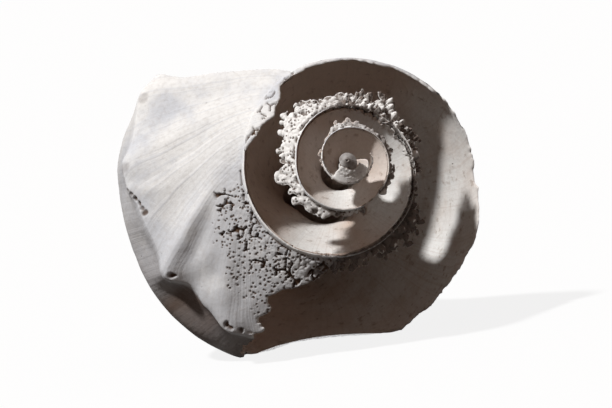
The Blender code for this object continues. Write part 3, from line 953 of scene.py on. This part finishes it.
def wall_quads(keep, edges, columns, count):
    """The outer face, the inner face count points further on, and the rim between them."""
    i, j = np.nonzero(keep[1:-1, 1:-1])
    corner = i * columns + j
    outer = np.stack([corner, corner + columns, corner + columns + 1, corner + 1], -1)
    start, end = edges.T
    rim = np.stack([start, end, end + count, start + count], -1)
    return np.concatenate([outer, outer[:, ::-1] + count, rim])


def wall_marks(turn, r, z, dirt_and_shade, shore):
    """What the material reads at each point, on the outer face and then on the inner one."""
    none = np.zeros(turn.shape)
    marks = {
        "inside": (none, none + 1.0),
        "pits": (pitting(turn, r, z), none),
        # Dirt, and painted shade and shadow
        "dirt_and_shade": (dirt_and_shade, none),
        "crust": (chalky(turn, r, z), none),
        # Grey roof, and painted shade on the side
        "grey_and_side_shade": (greying_and_side_shade(turn, z), none),
        "line": [growth_line(turn, z)] * 2,
        # Painted shade inside, brown where the chambers lie in shade
        "painted_shade": [read(INSIDE_PAINTED_SHADE, turn)] * 2,
        "edge": [shore * read(EDGE_WHITE, turn)] * 2,
    }
    return {key: np.stack(faces).ravel() for key, faces in marks.items()}


def shell_sheet(name, stretch, columns_at, material, edge_cells, pieces=1):
    """One stretch of shell wall: its rows are turns, its columns distances along the profile.
    A broken edge is rounded and worn over this many cells."""
    turns = turns_between(*stretch)
    s = columns_at(turns)
    rows, columns = s.shape
    count = rows * columns
    turn = np.repeat(turns[:, None], columns, 1)
    keep = kept_cells(turns, s)
    edges = border(keep, columns)
    points, r, z = outside(turn, s)
    normal = normals(points)
    out, dirt_and_shade = relief(turn, r, z, points)
    thick = wall(turn, r, z)
    shore = 1.0 - inland(keep, edge_cells)
    rounding = EDGE_ROUNDING * thick * (1.0 - np.sqrt(1.0 - shore**2))
    outer = relaxed(points + normal * (out - rounding)[..., None], edges)
    sunk = np.minimum(out + INSIDE_SPARED, 0.0)
    inner = relaxed(points + normal * (sunk - thick + rounding)[..., None], edges)
    quads = wall_quads(keep, edges, columns, count)
    both = np.stack([outer, inner]).reshape(-1, 3)
    marks = wall_marks(turn, r, z, dirt_and_shade, shore)
    row = (quads[:, 0] % count) // columns
    for k in range(pieces):
        part = (row * pieces) // rows == k
        title = name if pieces == 1 else name + "_" + str(k + 1)
        mesh_object(title, both, quads[part], marks, material)


def turns_between(first, last, step):
    """Turns at even steps, in metres, along the shoulder."""
    r1, r2 = radius_at(first), radius_at(last)
    count = int(2.0 * pi * (r2 - r1) / (np.log(GROWTH) * step)) + 2
    return np.log(np.linspace(r1, r2, count) / SHOULDER_RADIUS) / np.log(GROWTH)


def columns_to(turns, first, last, step):
    """Distances along the profile from one place to another, the same for each turn."""
    s = np.linspace(first, last, int((last - first) / step) + 2)
    return np.tile(s, (len(turns), 1))


def side_columns(turns, top):
    """Distances along the profile from the top of the side to the canal's end: even steps down
    to the middle, then as many as FOOT_COLUMNS."""
    share = np.linspace(0.0, 1.0, int((MIDDLE_S - top) / SIDE_STEP) + 2)[None, :]
    upper = top + (MIDDLE_S - top) * share + 0.0 * turns[:, None]
    foot = along_profile(CANAL_END * FOOT_BEYOND / radius_at(turns))[:, None]
    lower = mix(MIDDLE_S, foot, np.linspace(0.0, 1.0, FOOT_COLUMNS)[None, 1:])
    return np.hstack([upper, lower])


def whorl_columns(turns, roof_step, side_step):
    """Distances along the profile from the suture down to the hidden end of an early whorl."""
    roof = columns_to(turns, EDGE_S, SHOULDER_S, roof_step)
    side = columns_to(turns, SHOULDER_S, BOTTOM_S, side_step)
    return np.hstack([roof, side[:, 1:]])


def pillar(material):
    """The columella, a column round the axis with the canal's groove in it."""
    rows = np.array(PILLAR) * SHOULDER_RADIUS
    rings, sides = PILLAR_RINGS, PILLAR_SIDES
    heights = np.linspace(rows[0, 0], rows[-1, 0], rings)
    turns = -np.linspace(0.0, 1.0, sides + 1)[:-1]
    height, turn = np.meshgrid(heights, turns, indexing="ij")
    radius = read(rows, height) - groove(turn, height)
    points = placed(turn, np.maximum(radius, PILLAR_LEAST), height)
    points = points + uneven(points, *PILLAR_UNEVEN)[..., None]
    index = np.arange(rings * sides).reshape(rings, sides)
    beside = np.roll(index, -1, axis=1)
    quads = np.stack([index[:-1], beside[:-1], beside[1:], index[1:]], -1).reshape(-1, 4)
    flat = points.reshape(-1, 3)
    flat = np.concatenate([flat, [flat[:sides].mean(0), flat[-sides:].mean(0)]])
    k = np.arange(0, sides, 2)
    onward = (k + 2) % sides
    foot = np.stack(np.broadcast_arrays(k, len(flat) - 2, onward, k + 1), -1)
    last = (rings - 1) * sides
    head = [last + k, last + k + 1, last + onward, len(flat) - 1]
    head = np.stack(np.broadcast_arrays(*head), -1)
    # The columella gets painted shade, as a share of the inside's brown
    marks = {"inside": np.ones(len(flat)), "painted_shade": np.full(len(flat), PILLAR_PAINTED_SHADE)}
    mesh_object("columella", flat, np.concatenate([quads, foot, head]), marks, material)


# Materials


def empty_tree(owner):
    """The node tree of a material or world, with nothing in it."""
    owner.use_nodes = True
    owner.node_tree.nodes.clear()
    return owner.node_tree


def node(tree, kind, inputs=None, **settings):
    """The outputs of a new shader node. Its inputs are given as values or as other sockets."""
    made = tree.nodes.new("ShaderNode" + kind)
    for key, value in settings.items():
        setattr(made, key, value)
    for key, value in (inputs or {}).items():
        if isinstance(value, bpy.types.NodeSocket):
            tree.links.new(value, made.inputs[key])
        else:
            made.inputs[key].default_value = value
    return made.outputs


def blend(tree, share, a, b):
    """A colour part-way from a to b. Either is a socket or a plain colour."""
    colours = [c if isinstance(c, bpy.types.NodeSocket) else (*c, 1.0) for c in (a, b)]
    inputs = {0: share, 6: colours[0], 7: colours[1]}
    return node(tree, "Mix", inputs, data_type="RGBA")[2]


def maths(tree, kind, a, b):
    return node(tree, "Math", {0: a, 1: b}, operation=kind)[0]


def ramp(tree, value, low, high, bottom=0.0, top=1.0):
    """value stretched from low..high to bottom..top with soft ends."""
    limits = {"From Min": low, "From Max": high, "To Min": bottom, "To Max": top}
    inputs = {"Value": value, **limits}
    return node(tree, "MapRange", inputs, interpolation_type="SMOOTHSTEP")[0]


def mark(tree, name):
    return node(tree, "Attribute", attribute_name=name)["Fac"]


def speckle(tree, place, scale, detail, shift):
    """Noise at this scale, read at a shifted place so that no two speckles match."""
    shifts = (shift, shift * 0.7, -shift)
    moved = node(tree, "Mapping", {"Vector": place, "Location": shifts})[0]
    inputs = {"Vector": moved, "Scale": scale, "Detail": detail, "Roughness": SPECKLE_ROUGHNESS}
    return node(tree, "TexNoise", inputs)["Fac"]


def growth_streaks(tree):
    """Noise that changes from one growth line to the next."""
    inputs = {"W": mark(tree, "line"), "Scale": STREAKS_PER_TURN, "Detail": STREAK_DETAIL}
    return node(tree, "TexNoise", inputs, noise_dimensions="1D")["Fac"]


def fine_pores(tree, place):
    """Small round pores where the shell is pitted, from 0 to 1."""
    dots = node(tree, "TexVoronoi", {"Vector": place, "Scale": PORE_SCALE})
    own = node(tree, "SeparateColor", {"Color": dots["Color"]})[0]
    more = maths(tree, "SUBTRACT", mark(tree, "pits"), own)
    there = ramp(tree, more, -PORE_SOFTNESS, PORE_SOFTNESS)
    return maths(tree, "MULTIPLY", ramp(tree, dots["Distance"], *PORE_ROUND), there)


def layered(tree, tone, layers, textures):
    """A colour with others laid over it, each where its texture is high."""
    for name, low, high, most, colour in layers:
        tone = blend(tree, ramp(tree, textures[name], low, high, 0.0, most), tone, colour)
    return tone


def surface_height(tree, inner, textures, pore):
    """The finest relief, for the bump: weaker growth lines on the inside."""
    lines = maths(tree, "SUBTRACT", LINES_HIGH, maths(tree, "MULTIPLY", inner, LINES_LACK))
    height = maths(tree, "MULTIPLY", textures["grain"], GRAIN_HIGH)
    height = maths(tree, "ADD", height, maths(tree, "MULTIPLY", textures["streak"], lines))
    height = maths(tree, "ADD", height, maths(tree, "MULTIPLY", textures["fleck"], FLECKS_HIGH))
    return maths(tree, "SUBTRACT", height, maths(tree, "MULTIPLY", pore, PORES_DEEP))


def worn_shell():
    """Chalky outside, smoother cream inside browned by painted shade, with stains, dirt, painted
    shadow, pits and growth lines.
    """
    material = bpy.data.materials.new("worn shell")
    tree = empty_tree(material)
    place = node(tree, "TexCoord")["Object"]
    textures = {name: speckle(tree, place, *how) for name, how in SPECKLES.items()}
    textures["streak"] = growth_streaks(tree)
    textures["edge"] = mark(tree, "edge")
    pore = fine_pores(tree, place)
    inner = mark(tree, "inside")

    outer_tone = layered(tree, CHALK, OUTSIDE_LAYERS, textures)
    # Grey on the roof and painted shade on the side, in patches
    patchy = ramp(tree, textures["patch"], *GREY_PATCHES)
    greyed_and_shaded = maths(tree, "MULTIPLY", mark(tree, "grey_and_side_shade"), patchy)
    outer_tone = blend(tree, greyed_and_shaded, outer_tone, ROOF_GREY_AND_SHADE)
    outer_tone = blend(tree, mark(tree, "crust"), outer_tone, CRUST)

    # Painted shade: the inside browns where its chambers lie in shade, unevenly in broad patches
    patchy = ramp(tree, textures["broad"], *PAINTED_SHADE_PATCHES)
    painted_shade_share = maths(tree, "ADD", mark(tree, "painted_shade"), patchy)
    inner_tone = layered(tree, blend(tree, painted_shade_share, CREAM, PAINTED_SHADE_BROWN), INSIDE_LAYERS, textures)

    tone = blend(tree, inner, outer_tone, inner_tone)
    tone = layered(tree, tone, LAYERS_ALL_OVER, textures)
    # Dark brown dirt, also standing for painted shade and painted shadow
    soil_and_shade = maths(tree, "MAXIMUM", maths(tree, "MULTIPLY", pore, PORE_SOIL), mark(tree, "dirt_and_shade"))
    tone = blend(tree, soil_and_shade, tone, EARTH_AND_SHADE)

    height = surface_height(tree, inner, textures, pore)
    look = {
        "Base Color": tone,
        "Roughness": ramp(tree, textures["grain"], *ROUGHNESS),
        "Normal": node(tree, "Bump", {"Height": height, **BUMP})[0],
        "Specular IOR Level": SHEEN,
    }
    shader = node(tree, "BsdfPrincipled", look)[0]
    node(tree, "OutputMaterial", {"Surface": shader})
    return material


# The stage, light and camera


def finish_tree(tree, output, unseen, seen):
    """One shader for what the camera sees, also by a mirror or through glass, and another for
    all other light."""
    path = node(tree, "LightPath")
    direct = maths(tree, "MAXIMUM", path["Is Camera Ray"], path["Is Glossy Ray"])
    direct = maths(tree, "MAXIMUM", direct, path["Is Transmission Ray"])
    mixed = node(tree, "MixShader", {0: direct, 1: unseen, 2: seen})[0]
    node(tree, output, {"Surface": mixed})


def pale_floor():
    """A floor that the camera sees as white, with the shell's shadow on it."""
    mesh = bpy.data.meshes.new("floor")
    corners = [(-1, -1), (1, -1), (1, 1), (-1, 1)]
    points = [(x * FLOOR_HALF, y * FLOOR_HALF, 0.0) for x, y in corners]
    mesh.from_pydata(points, [], [(0, 1, 2, 3)])
    floor = put("floor", mesh)
    pale = bpy.data.materials.new("pale floor")
    tree = empty_tree(pale)
    quiet = node(tree, "BsdfDiffuse", {"Color": FLOOR_UNSEEN})[0]
    plain = node(tree, "BsdfDiffuse", {"Color": FLOOR_SEEN})[0]
    glow = node(tree, "Emission")[0]
    bright = node(tree, "MixShader", {0: FLOOR_GLOW, 1: plain, 2: glow})[0]
    finish_tree(tree, "OutputMaterial", quiet, bright)
    mesh.materials.append(pale)


def studio():
    """A dim warm light from all round, which the camera sees as white."""
    world = bpy.data.worlds.new("studio")
    bpy.context.scene.world = world
    tree = empty_tree(world)
    dim = {"Color": (*SHADE_LIGHT, 1.0), "Strength": SHADE_STRENGTH}
    shade = node(tree, "Background", dim)[0]
    white = node(tree, "Background", {"Color": (1.0, 1.0, 1.0, 1.0)})[0]
    finish_tree(tree, "OutputWorld", shade, white)


def sunlight():
    sun = bpy.data.lights.new("sun", "SUN")
    sun.energy = SUN_STRENGTH
    sun.angle = SUN_ANGLE
    lamp = put("sun", sun)
    lamp.rotation_euler = Vector(SUN_FROM).to_track_quat("Z", "Y").to_euler()


def look_through_camera():
    view = bpy.data.cameras.new("camera")
    view.lens = LENS
    camera = put("camera", view)
    camera.matrix_world = (
        Matrix.Translation(Vector(CAMERA_AT))
        @ Matrix.Rotation(-CAMERA_TURN, 4, "Z")
        @ Matrix.Rotation(radians(90.0) - CAMERA_DROP, 4, "X")
        @ Matrix.Rotation(CAMERA_ROLL, 4, "Z")
    )
    bpy.context.scene.camera = camera
    bpy.context.scene.view_settings.view_transform = "Standard"


# The scene

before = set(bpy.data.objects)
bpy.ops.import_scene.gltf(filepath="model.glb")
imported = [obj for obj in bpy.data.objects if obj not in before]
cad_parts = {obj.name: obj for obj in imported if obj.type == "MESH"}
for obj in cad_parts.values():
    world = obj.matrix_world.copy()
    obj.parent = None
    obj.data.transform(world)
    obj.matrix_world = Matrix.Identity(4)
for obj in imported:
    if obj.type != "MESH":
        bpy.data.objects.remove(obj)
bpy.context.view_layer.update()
worn = worn_shell()
shell_sheet("roof", ROOF_TURNS, lambda t: columns_to(t, EDGE_S, UNDER_S, ROOF_STEP), worn, 3, 2)
shell_sheet("crust", CRUST_TURNS, lambda t: columns_to(t, EDGE_S, SHOULDER_S, CRUST_STEP), worn, 3)
shell_sheet("side", SIDE_TURNS, lambda t: side_columns(t, SHOULDER_S), worn, 2)
shell_sheet("broken_side", BROKEN_TURNS, lambda t: side_columns(t, SHOULDER_S), worn, 2)
shell_sheet("lip_side", LIP_TURNS, lambda t: side_columns(t, UNDER_S), worn, 2)
shell_sheet("second_whorl", SECOND_TURNS, lambda t: whorl_columns(t, *SECOND_STEPS), worn, 3)
shell_sheet("first_whorls", EARLY_TURNS, lambda t: whorl_columns(t, *EARLY_STEPS), worn, 2)
shell_sheet("apex", APEX_TURNS, lambda t: columns_to(t, EDGE_S, BOTTOM_S, APEX_STEP), worn, 1)
pillar(worn)
pale_floor()
studio()
sunlight()
look_through_camera()
